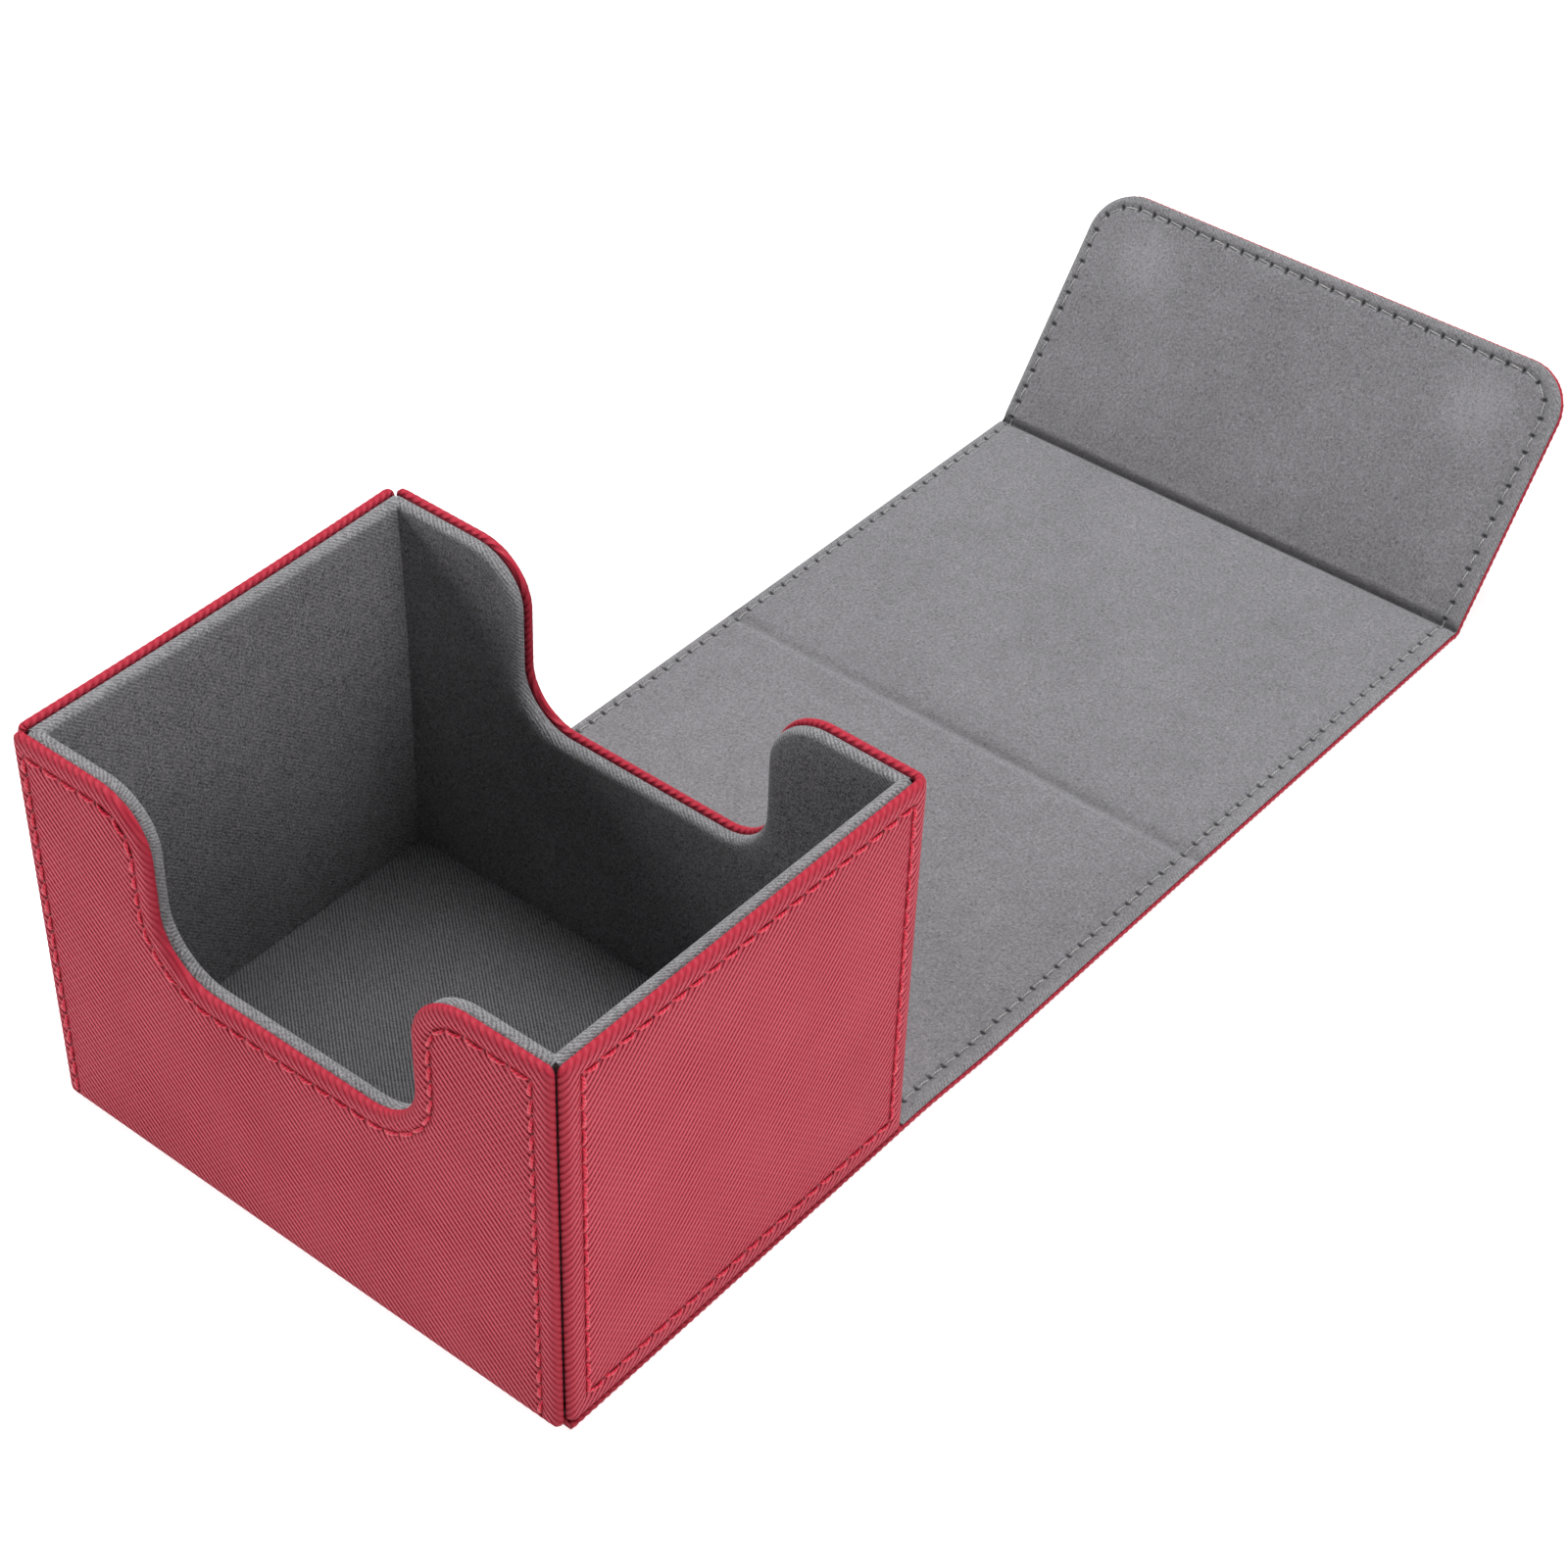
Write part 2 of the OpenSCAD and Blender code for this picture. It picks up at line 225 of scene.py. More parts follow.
class Seam:
    """A sewn line. Its needle holes are the steps of an outline, with finer points between
    them. The last straight of an open seam isn't sewn."""
    FINE = 8

    def __init__(self, corners, pitch, closed=True):
        self.holes, counts = fillet_path(corners, step=pitch)
        fine_counts = [(a * self.FINE, l * self.FINE) for a, l in counts]
        self.fine, _ = fillet_path(corners, counts=fine_counts)
        if not closed:
            last = len(self.holes) - counts[-1][1]
            self.holes = self.holes[:last + 1]
            self.fine = self.fine[:last * self.FINE + 1]
        self.closed, self.pitch = closed, pitch
        self.path = Path(self.fine, closed)

    def measure(self, points):
        """Distance across the seam, distance along it from the nearest hole, and side."""
        d, place, side = self.path.near(points)
        phase = (place / self.FINE) % 1.0
        return d, (0.5 - np.abs(phase - 0.5)) * self.pitch, side

    def stitches(self):
        following = np.roll(self.holes, -1, axis=0)
        pairs = list(zip(self.holes, following))
        return pairs if self.closed else pairs[:-1]

    def lines(self):
        return [self]


class Seams:
    """Several seams on one piece."""

    def __init__(self, *parts):
        self.parts = parts

    def measure(self, points):
        found = [part.measure(points) for part in self.parts]
        first = np.argmin([f[0] for f in found], axis=0)
        picked = [np.choose(first, [f[k] for f in found]) for k in range(3)]
        picked[2] = np.max([f[2] for f in found], axis=0)
        return picked

    def stitches(self):
        return [pair for part in self.parts for pair in part.stitches()]

    def lines(self):
        return list(self.parts)


# ---- embossed twill

TWILL_U, TWILL_V = 0.69, 0.705        # ridges and notches per millimetre
KNIT_U, KNIT_V = 1.155, 1.40          # ribs of the lining's knit per millimetre


def twill(u, v):
    """Height of the embossed twill, 0 to 1: diagonal ridges cut across by thin notches."""
    q = TWILL_U * u - TWILL_V * v
    p = TWILL_U * u + TWILL_V * v
    ridge = 0.5 + 0.5 * np.cos(2 * np.pi * q)
    notch = smoothstep((np.abs((p % 1.0) - 0.5) * 2 - 0.52) / 0.38)
    return ridge ** 0.8 * (1 - 0.75 * notch)


# ---- meshes

def new_object(name, data):
    obj = bpy.data.objects.new(name, data)
    bpy.context.scene.collection.objects.link(obj)
    return obj


def make_mesh(name, verts, faces, attributes, material, smooth_angle=50):
    mesh = bpy.data.meshes.new(name)
    mesh.from_pydata((np.asarray(verts) * MM).tolist(), [], faces)
    for key, values in attributes.items():
        layer = mesh.attributes.new(key, "FLOAT_VECTOR", "POINT")
        layer.data.foreach_set("vector", np.asarray(values, np.float32).ravel())
    mesh.polygons.foreach_set("use_smooth", [True] * len(mesh.polygons))
    mesh.set_sharp_from_angle(angle=math.radians(smooth_angle))
    mesh.materials.append(material)
    mesh.validate()
    return new_object(name, mesh)


def bullnose(outer, inner, thickness, steps=5):
    """Profile of a rolled edge as (inset, depth, normal across, normal outwards)."""
    turns = [(math.sin(a), math.cos(a)) for a in (math.pi / 2 * k / steps
                                                  for k in range(steps + 1))]
    profile = [(outer - outer * s, outer - outer * c, s, c) for s, c in turns]
    if thickness - outer - inner < 1e-6:
        turns = turns[1:]
    return profile + [(inner - inner * c, thickness - inner + inner * s, c, -s)
                      for s, c in turns]


def grid_points(ring, size):
    low, high = ring.min(0), ring.max(0)
    xs = np.arange(low[0] + size / 2, high[0], size)
    ys = np.arange(low[1] + size / 2, high[1], size)
    return np.array([(x, y) for x in xs for y in ys]).reshape(-1, 2)


FAR = 50.0                            # from a seam, on pieces that have none


def slab(name, material, outline, profile, place, step=0.24, extra=(), height=None,
         ribs=0.0, seam=None, lean=1, spacing=0.26, grid=4.0, rim=None, back_extra=(),
         back_grid=None, back_height=None, tone_shift=None):
    """A flat piece with shaped edges. outline(inset, depth) gives its corners, profile its
    edge, from the front face (depth 0) to the back one, and place(u, v, depth) puts it in
    space. The faces take extra points, a grid of points and heights. ribs lift the twill
    on the edge, lean says which way it runs, and rim is the path of the true edge with the
    width over which that shows; a lining's rim is painted paler, a painted highlight.
    worn(points) gives a lining's painted shade along its folds, a thin painted highlight
    before the lid's crease and lighter marks over the magnets. The mesh keeps pat, its
    flat pattern, and sewn: the distance across the seam, that along it from a hole, and
    the rim's share."""
    reference, counts = fillet_path(outline(*profile[0][:2]), step=step)
    rings = [fillet_path(outline(*p[:2]), counts=counts)[0] for p in profile]
    outermost = rings[int(np.argmin([p[0] for p in profile]))]
    outward = outermost - reference
    reach = np.linalg.norm(outward, axis=1, keepdims=True)
    outward = np.where(reach > 1e-6, outward / np.maximum(reach, 1e-6), 0)
    n = len(reference)

    uv, depth, pattern = [], [], []
    unrolled, previous = 0.0, None
    for ring, (inset, w, across, out) in zip(rings, profile):
        if previous is not None:
            unrolled += math.hypot(inset - previous[0], w - previous[1])
        previous = (inset, w)
        flat = reference + outward * unrolled
        lift = ribs * min(1, 3 * abs(across)) * (twill(flat[:, 0], lean * flat[:, 1]) - 0.35)
        uv.append(ring + outward * (lift * across)[:, None])
        depth.append(w - lift * out)
        pattern.append(np.column_stack([flat[:, 0], lean * flat[:, 1]]))
    uv, depth, pattern = np.concatenate(uv), np.concatenate(depth), np.concatenate(pattern)

    faces = []
    for k in range(len(profile) - 1):
        a, b = k * n, (k + 1) * n
        faces += [(a + i, a + (i + 1) % n, b + (i + 1) % n, b + i) for i in range(n)]

    def fill(ring, start, points, w, flip):
        nonlocal uv, depth, pattern
        inner = np.zeros((0, 2))
        if len(points):
            sparse = ring[::max(1, round(0.5 / step))]
            points = points[inside(points, ring[::2])]
            clear = Path(ring).near(points)[0]
            inner = thin_out(points[clear > max(spacing, 0.25)], spacing, sparse)
        coords = [Vector(p) for p in np.vstack([ring, inner])]
        found, _, triangles, origin = delaunay_2d_cdt(coords, [], [list(range(n))], 1, 1e-5)[:4]
        index, added, base = {}, [], len(uv)
        for i, sources in enumerate(origin):
            if sources and min(sources) < n:
                index[i] = start + min(sources)
            else:
                index[i] = base + len(added)
                added.append(tuple(found[i]))
        for face in triangles:
            loop = [index[i] for i in face]
            faces.append(tuple(reversed(loop)) if flip else tuple(loop))
        added = np.array(added).reshape(-1, 2)
        uv = np.vstack([uv, added])
        depth = np.concatenate([depth, np.full(len(added), w)])
        pattern = np.vstack([pattern, added * [1, lean]])
        return np.arange(base, len(uv))

    def points_of(extras, ring, size):
        sets = [np.asarray(e, float).reshape(-1, 2) for e in extras]
        if size:
            sets.append(grid_points(ring, size))
        return np.vstack(sets) if sets else np.zeros((0, 2))

    front = fill(rings[0], 0, points_of(extra, rings[0], grid), profile[0][1], True)
    last = (len(rings) - 1) * n
    back = fill(rings[-1], last, points_of(back_extra, rings[-1], back_grid),
                profile[-1][1], False)
    faced = np.concatenate([np.arange(n), front])
    if height is not None:
        depth[faced] -= height(uv[faced])
    if back_height is not None:
        behind = np.concatenate([np.arange(last, last + n), back])
        depth[behind] += back_height(uv[behind])

    sewn = np.full((len(uv), 3), FAR)
    if seam is not None:
        sewn[faced, 0], sewn[faced, 1], _ = seam.measure(uv[faced])
    sewn[:, 2] = 0 if rim is None else np.clip(1 - rim[0].near(uv)[0] / rim[1], 0, 1)
    attributes = {"pat": np.column_stack([pattern, np.zeros(len(uv))]), "sewn": sewn}
    if tone_shift is not None:
        attributes["tone_shift"] = tone_shift(uv)
    return make_mesh(name, place(uv[:, 0], uv[:, 1], depth), faces, attributes, material)


def seam_rings(seam, offsets=(0.0, 0.3, -0.3, 0.6, -0.6, 1.0, -1.0, 1.6, -1.6)):
    """Points along both sides of a seam, for the groove that it pulls into the surface."""
    found = []
    for line in seam.lines():
        fine = line.fine
        ahead, behind = np.roll(fine, -1, axis=0), np.roll(fine, 1, axis=0)
        if not line.closed:
            ahead[-1], behind[0] = fine[-1], fine[0]
        along = ahead - behind
        along /= np.maximum(np.linalg.norm(along, axis=1, keepdims=True), 1e-9)
        side = np.column_stack([-along[:, 1], along[:, 0]])
        found += [fine + side * o for o in offsets]
    return found


CROWN_REACH, GROOVE_REACH = 2.2, 0.55         # how far a seam's relief reaches
HOLE_ACROSS, HOLE_ALONG = 0.7, 0.8
EDGE_FADE = 1.2                       # from an edge, where the groove starts to fade


def sewn_height(seam, edge, groove, pillow, crown, hole=0.0):
    """Height of a sewn surface: a groove along the seam, a pillow between the seam and
    the edge, and a soft crown inside it."""
    def height(uv):
        d, along, side = seam.measure(uv)
        from_edge = edge.near(uv)[0]
        share = from_edge / np.maximum(from_edge + d, 1e-6)
        rise = np.where(side > 0, crown * (1 - np.exp(-d / CROWN_REACH)),
                        pillow * np.sin(np.pi * np.clip(share, 0, 1)))
        dip = groove * np.exp(-(d / GROOVE_REACH) ** 2)
        pucker = hole * np.exp(-(d / HOLE_ACROSS) ** 2) * np.exp(-(along / HOLE_ALONG) ** 2)
        return rise - (dip + pucker) * np.clip(from_edge / EDGE_FADE, 0, 1)
    return height


def threads(name, material, stitches, place, surface, radius=0.32, slant=0.17, sunk=-0.12):
    """Twisted threads from hole to hole, on a surface whose depth is surface(points).
    slant turns each a little off the seam, and sunk is how deep it lies."""
    rings, sides = 9, 8
    a, b = (np.array([p[k] for p in stitches]) for k in (0, 1))
    along = (b - a) / np.linalg.norm(b - a, axis=1, keepdims=True)
    across = np.column_stack([-along[:, 1], along[:, 0]])
    a, b = a + across * slant, b - across * slant
    share = np.linspace(0, 1, rings)
    arch = np.sin(np.pi * np.clip(share * 1.16 - 0.08, 0, 1)) ** 0.35
    centre = a[:, None] + (share * 0.94 + 0.03)[None, :, None] * (b - a)[:, None]
    level = surface(centre.reshape(-1, 2)).reshape(len(a), rings)
    deep = level + 0.32 - 0.56 * arch + sunk
    angle = 2 * np.pi * np.arange(sides) / sides
    number = np.arange(len(a))[:, None, None]
    wide = radius * (0.62 + 0.38 * arch)[None, :, None] * (
        1 + 0.16 * np.cos(2 * angle[None, None] - 5.5 * share[None, :, None] + number))
    uv = centre[:, :, None] + across[:, None, None] * (wide * np.cos(angle))[..., None]
    w = deep[:, :, None] - wide * 0.85 * np.sin(angle)
    verts = place(uv[..., 0].ravel(), uv[..., 1].ravel(), w.ravel())
    twist = np.stack(np.broadcast_arrays(share[None, :, None] * 3.4, angle[None, None],
                                         number * 0.37), axis=-1).reshape(-1, 3)
    faces = []
    for base in range(0, len(verts), rings * sides):
        for k in range(rings - 1):
            row = base + k * sides
            faces += [(row + j, row + (j + 1) % sides, row + (j + 1) % sides + sides,
                       row + j + sides) for j in range(sides)]
        faces.append(tuple(base + j for j in reversed(range(sides))))
        faces.append(tuple(base + (rings - 1) * sides + j for j in range(sides)))
    return make_mesh(name, verts, faces, {"pat": twist}, material, 80)


# ---- materials

TWILL_RELIEF, NAP_RELIEF, THREAD_RELIEF = 0.00022, 0.00026, 0.00006      # metres
PULP_RELIEF, STEEL_RELIEF = 0.00005, 0.00001


class Graph:
    """A small helper to write a node tree as formulas."""

    def __init__(self, name):
        self.material = bpy.data.materials.new(name)
        self.material.use_nodes = True
        self.tree = self.material.node_tree
        self.tree.nodes.clear()
        self.output = self.tree.nodes.new("ShaderNodeOutputMaterial")
        self.shader = self.tree.nodes.new("ShaderNodeBsdfPrincipled")
        self.tree.links.new(self.shader.outputs[0], self.output.inputs[0])

    def put(self, socket, value):
        if isinstance(value, bpy.types.NodeSocket):
            self.tree.links.new(value, socket)
        else:
            socket.default_value = value

    def fill(self, inputs, values):
        for key, value in values.items():
            self.put(inputs[key.replace("_", " ")], value)

    def node(self, kind, **values):
        node = self.tree.nodes.new("ShaderNode" + kind)
        self.fill(node.inputs, values)
        return node

    def math(self, operation, a, b=0.0, c=0.0, clamp=False):
        node = self.node("Math")
        node.operation, node.use_clamp = operation, clamp
        for socket, value in zip(node.inputs, (a, b, c)):
            self.put(socket, value)
        return node.outputs[0]

    def mul(self, a, b):
        return self.math("MULTIPLY", a, b)

    def add(self, a, b):
        return self.math("ADD", a, b)

    def sub(self, a, b, clamp=False):
        return self.math("SUBTRACT", a, b, clamp=clamp)

    def mad(self, a, b, c, clamp=False):
        """a times b, plus c."""
        return self.math("MULTIPLY_ADD", a, b, c, clamp)

    def attribute(self, name):
        node = self.node("Attribute")
        node.attribute_name = name
        return node.outputs["Vector"]

    def place(self):
        return self.node("TexCoord").outputs["Object"]

    def split(self, vector):
        return tuple(self.node("SeparateXYZ", Vector=vector).outputs)

    def scaled(self, vector, factors):
        node = self.node("VectorMath")
        node.operation = "MULTIPLY"
        self.put(node.inputs[0], vector)
        node.inputs[1].default_value = factors
        return node.outputs[0]

    def noise(self, vector, scale, detail=2.0, roughness=0.5, distortion=0.0):
        return self.node("TexNoise", Vector=vector, Scale=scale, Detail=detail,
                         Roughness=roughness, Distortion=distortion).outputs["Fac"]

    def smooth(self, value, low, high):
        node = self.node("MapRange", Value=value, From_Min=low, From_Max=high)
        node.interpolation_type = "SMOOTHSTEP"
        return node.outputs[0]

    def mix(self, share, a, b):
        node = self.node("Mix")
        node.data_type = "RGBA"
        self.fill(node.inputs, {"Factor": share, "A": a, "B": b})
        return node.outputs["Result"]

    def bump(self, height, distance, strength):
        return self.node("Bump", Strength=strength, Distance=distance, Height=height).outputs[0]

    def set(self, **values):
        self.fill(self.shader.inputs, values)


def color(r, g, b):
    return (r, g, b, 1.0)


def grey(value):
    return color(value, value, value)


def leather_material():
    """Embossed twill: ridges painted lighter, a painted highlight, and the hollows between them
    painted darker, painted shade, cut across by notches of a middling tone.
    """
    g = Graph("crimson_leather")
    pat = g.attribute("pat")
    across, along, rim = g.split(g.attribute("sewn"))
    wobble = g.mul(g.noise(pat, 0.9, 1.0), 0.10)
    u, v, _ = g.split(pat)
    u = g.add(u, wobble)
    q = g.sub(g.mul(u, TWILL_U), g.mul(v, TWILL_V))
    p = g.add(g.mul(u, TWILL_U), g.mul(v, TWILL_V))
    ridge = g.mad(g.math("COSINE", g.mul(q, 2 * math.pi)), 0.5, 0.5)
    ridge = g.math("POWER", ridge, 0.65)
    edge = g.mul(g.math("ABSOLUTE", g.sub(g.math("FRACT", p), 0.5)), 2.0)
    notch = g.mul(g.smooth(edge, 0.55, 0.95), g.mad(rim, -0.85, 1.0))
    level = g.mul(g.sub(0.52, ridge), g.mul(notch, 0.5))
    dash = g.add(ridge, level)
    grain = g.noise(g.scaled(pat, (5.0, 5.0, 5.0)), 1.0, 3.0, 0.6)
    height = g.mad(grain, 0.14, dash)

    hole = g.mul(g.smooth(across, 0.36, 0.10), g.smooth(along, 0.36, 0.10))
    crease = g.smooth(across, 0.70, 0.1)
    sewn = g.mad(hole, -2.0, height)
    sewn = g.mad(crease, -0.2, sewn)

    cloud = g.noise(g.scaled(pat, (0.045, 0.06, 0.05)), 1.0, 2.0)
    tone_shift = g.mul(g.sub(cloud, 0.5), 0.3)
    # The colour follows the twill's height: painted shade in its hollows and a painted highlight
    # on its ridges, with a random mottle over them.
    tone = g.smooth(g.add(tone_shift, height), 0.08, 0.88)
    flat = g.sub(0.50, tone)
    tone = g.mad(flat, g.mul(rim, 0.85), tone)
    # Dark end: painted shade in the twill's hollows. Light end: the ridges' crimson with a
    # painted highlight.
    base = g.mix(tone, color(0.17, 0.004, 0.012), color(0.555, 0.058, 0.091))
    base = g.mix(g.mul(rim, 0.5), base, color(0.37, 0.014, 0.031))
    # Painted shade along the seam's groove.
    base = g.mix(g.mul(crease, 0.12), base, color(0.24, 0.004, 0.012))
    # Painted shade in the needle holes.
    base = g.mix(g.mul(hole, 0.85), base, color(0.055, 0.002, 0.005))
    rough = g.mad(grain, 0.16, 0.48)
    g.set(Base_Color=base, Roughness=rough, Specular_IOR_Level=g.mul(tone, 0.24),
          Normal=g.bump(sewn, TWILL_RELIEF, 1.0))
    return g.material


def lining_material(name, dark, light, ribbed, grain, fine):
    """Brushed knit. ribbed is how much its ribs show, grain how rough it looks, and fine
    how small the grain is. The rim is painted paler, a painted highlight on its top-lit
    rounded edge, and the folds are painted darker, painted shade."""
    g = Graph(name)
    pat = g.attribute("pat")
    across, along, rim = g.split(g.attribute("sewn"))
    # The lining's shifts of tone: painted shade at the folds, lighter marks over the magnets, and
    # a thin painted highlight before the lid's crease.
    fold, pressed, line = g.split(g.attribute("tone_shift"))
    fibre = g.noise(g.scaled(pat, (2.1 * fine, 1.8 * fine, 1.0)), 1.0, 4.0, 0.78, 0.8)
    speck = g.noise(g.scaled(pat, (4.6, 4.2, 1.0)), 1.0, 1.0, 0.4)
    nap = g.noise(g.scaled(pat, (1.0 * fine, 0.7 * fine, 1.0)), 1.0, 4.0, 0.68, 1.4)
    cloud = g.noise(g.scaled(pat, (0.05, 0.035, 1.0)), 1.0, 3.0, 0.55)
    blotch = g.noise(g.scaled(pat, (0.22, 0.20, 1.0)), 1.0, 2.0, 0.5)
    knit_u, knit_v, _ = g.split(pat)
    slope = g.mad(knit_v, KNIT_V, g.mul(knit_u, KNIT_U))
    ribs = g.math("SINE", g.mul(slope, 2 * math.pi))

    def centred(value, amount, onto):
        return g.mad(g.sub(value, 0.5), amount, onto)

    tone = centred(fibre, 2.3 * grain, 0.5)
    tone = centred(nap, 0.65 * grain, tone)
    tone = centred(cloud, 0.28, tone)
    tone = centred(blotch, 0.20, tone)
    tone = g.mad(ribs, 0.12 * ribbed, tone)
    salt = g.mul(rim, g.sub(g.smooth(speck, 0.36, 0.68), 0.5))
    tone = g.mad(salt, 0.35, tone)
    tone = g.mad(g.mul(rim, ribs), 0.22, tone)
    tone = g.mad(pressed, 0.22, tone)
    # The thin line lightens the tone: a painted highlight before the lid's crease.
    tone = g.sub(tone, line, clamp=True)
    base = g.mix(tone, dark, light)
    # The rim's tones, paler than the rest: a painted highlight on the top-lit rounded edge, with
    # its coarser speckle.
    rim_base = g.mix(tone, color(0.13, 0.13, 0.134), color(0.32, 0.318, 0.33))
    base = g.mix(g.mul(rim, 0.72), base, rim_base)
    # Painted shade along the cover's folds.
    base = g.mix(g.mul(fold, 0.62), base, color(0.030, 0.029, 0.031))

    pull = centred(fibre, 0.9, across)
    hole = g.mul(g.smooth(pull, 0.85, 0.20), g.smooth(along, 0.46, 0.14))
    crease = g.smooth(across, 0.8, 0.1)
    # Painted shade along the seam's groove.
    base = g.mix(g.mul(crease, 0.22), base, color(0.08, 0.08, 0.085))
    # Painted shade in the needle holes.
    base = g.mix(g.mul(hole, 0.9), base, color(0.010, 0.010, 0.011))

    height = g.mad(fibre, 1.3, g.mul(ribs, 0.10 * ribbed))
    height = g.mad(nap, 0.8, height)
    height = g.mad(g.mul(rim, speck), 0.7, height)
    height = g.mad(hole, -1.6, height)
    g.set(Base_Color=base, Roughness=0.95, Specular_IOR_Level=0.10,
          Sheen_Weight=0.18, Sheen_Roughness=0.5, Sheen_Tint=(0.92, 0.92, 0.95, 1.0),
          Normal=g.bump(height, NAP_RELIEF, 0.9))
    return g.material


def thread_material(name, light, dark, rough):
    g = Graph(name)
    pat = g.attribute("pat")
    s, angle, _ = g.split(pat)
    turn = g.math("SINE", g.mad(s, 9.0, g.mul(angle, 2.0)))
    ply = g.mad(turn, 0.5, 0.5)
    lint = g.noise(g.scaled(pat, (6.0, 2.0, 9.0)), 1.0, 2.0, 0.6)
    tone = g.mad(g.sub(lint, 0.5), 0.5, ply, clamp=True)
    g.set(Base_Color=g.mix(tone, dark, light), Roughness=rough, Specular_IOR_Level=0.4,
          Sheen_Weight=0.2, Sheen_Roughness=0.4, Normal=g.bump(tone, THREAD_RELIEF, 0.7))
    return g.material


def board_material(name, light, dark, scale):
    g = Graph(name)
    at = g.scaled(g.place(), (scale, scale, scale))
    pulp = g.noise(at, 1.0, 5.0, 0.65)
    flecks = g.noise(g.scaled(at, (0.3, 1.0, 1.0)), 2.2, 2.0, 0.5)
    tone = g.mad(g.sub(flecks, 0.5), 0.6, pulp, clamp=True)
    g.set(Base_Color=g.mix(tone, dark, light), Roughness=0.9, Specular_IOR_Level=0.2,
          Normal=g.bump(pulp, PULP_RELIEF, 0.5))
    return g.material


def magnet_material():
    g = Graph("magnet_steel")
    at = g.scaled(g.place(), (900.0, 900.0, 900.0))
    brushed = g.noise(g.scaled(at, (0.2, 2.5, 1.0)), 1.0, 3.0, 0.6)
    g.set(Base_Color=g.mix(brushed, color(0.55, 0.55, 0.57), color(0.75, 0.75, 0.77)),
          Metallic=1.0, Roughness=g.mad(brushed, 0.2, 0.2),
          Normal=g.bump(brushed, STEEL_RELIEF, 0.4))
    return g.material


LEATHER = leather_material()
LINING = lining_material("grey_lining", color(0.082, 0.081, 0.086),
                         color(0.278, 0.274, 0.290), ribbed=0.0, grain=1.1, fine=1.1)
WALL_LINING = lining_material("wall_lining", color(0.033, 0.032, 0.034),
                              color(0.350, 0.342, 0.358), ribbed=0.8, grain=1.8, fine=1.5)
FLOOR_LINING = lining_material("floor_lining", color(0.018, 0.017, 0.019),
                               color(0.150, 0.147, 0.154), ribbed=4.0, grain=1.5, fine=1.5)
RED_THREAD = thread_material("crimson_thread", color(0.88, 0.030, 0.085),
                             color(0.46, 0.008, 0.026), 0.45)
GREY_THREAD = thread_material("grey_thread", color(0.42, 0.42, 0.41), grey(0.18), 0.6)
BOARD = board_material("greyboard", color(0.34, 0.31, 0.28), color(0.20, 0.18, 0.16), 700.0)
CARD = board_material("liner_card", color(0.16, 0.16, 0.165), color(0.07, 0.07, 0.075), 900.0)
MAGNET = magnet_material()


# ---- places in space

# How far the walls' tops lean: at the left, further at its back corner, and elsewhere.
LEAN_LEFT, LEAN_CORNER = 1.35, 1.8
LEAN_RIGHT, LEAN_BACK, LEAN_FRONT = 0.3, 0.1, 0.55


def leaning(points, front=False):
    """The walls lean outwards towards their tops, most of all at the back left corner,
    where they aren't joined. The front wall's left end stays upright."""
    x, y, z = points.T
    rise = np.clip((z - 2) / (TOP - 2), 0, 1.1)
    left = np.clip((HALF_W - x) / (2 * HALF_W), 0, 1.05)
    back = np.clip((y + HALF_D) / (2 * HALF_D), 0, 1.05)
    outward = 0 if front else left ** 6 * (LEAN_LEFT + LEAN_CORNER * back ** 2)
    points[:, 0] += rise * (LEAN_RIGHT * (1 - left) - outward)
    points[:, 1] += rise * (back * (LEAN_LEFT * left - LEAN_BACK) - LEAN_FRONT * (1 - back))
    return points


def on_front(u, v, w):
    return leaning(np.column_stack([u, -HALF_D + w, v]), front=True)


def front_panel(u, v, w):
    return leaning(np.column_stack([u, -HALF_D + w, v]))


def on_left(u, v, w):
    return leaning(np.column_stack([-HALF_W + w, -u, v]))


def on_right(u, v, w):
    return leaning(np.column_stack([HALF_W - w, u, v]))


def on_back(u, v, w):
    return leaning(np.column_stack([-u, HALF_D - w, v]))


BEND_R = 2.3                          # leather round the right back corner
BEND_START = HALF_D - BEND_R
BEND_END = BEND_START + BEND_R * math.pi / 2


def round_the_back(u, v, w):
    """Right wall for u below BEND_START, then round the corner and along the back."""
    x, y = HALF_W - w, u.copy()
    turned = np.clip((u - BEND_START) / (BEND_END - BEND_START), 0, 1) * math.pi / 2
    bending = (u > BEND_START) & (u <= BEND_END)
    x = np.where(bending, HALF_W - BEND_R + (BEND_R - w) * np.cos(turned), x)
    y = np.where(bending, BEND_START + (BEND_R - w) * np.sin(turned), y)
    past = u > BEND_END
    x = np.where(past, HALF_W - BEND_R - (u - BEND_END), x)
    y = np.where(past, HALF_D - w, y)
    return leaning(np.column_stack([x, y, v]))


FOLD_HALF, REAR_FOLD_HALF = 2.4, 3.0  # half the length over which a crease turns
WIDER_FOOT, WIDER_RIGHT, WIDER_LEFT = 0.6, 0.5, 0.3   # added to the strip's half width


def along_cover(u, v, w):
    """The long strip: v runs back along the table and up the raised flap; w is the height
    above the table. It is a little wider towards its far end."""
    wider = np.where(u > 0, WIDER_FOOT * smoothstep((v - REAR_Y) / 22), 0) \
        + np.where(u > 0, WIDER_RIGHT, WIDER_LEFT) * smoothstep((v - 90) / 130)
    u = u * (1 + wider / HALF_W)
    angle = FLAP_ANGLE * smoothstep((v - FLAP_Y + FOLD_HALF) / (2 * FOLD_HALF))
    y, z = v - FLAP_Y, w - HINGE_Z
    return np.column_stack([u, FLAP_Y + y * np.cos(angle) - z * np.sin(angle),
                            HINGE_Z + y * np.sin(angle) + z * np.cos(angle)])


# ---- walls

WALL_CORNER_R = 1.3


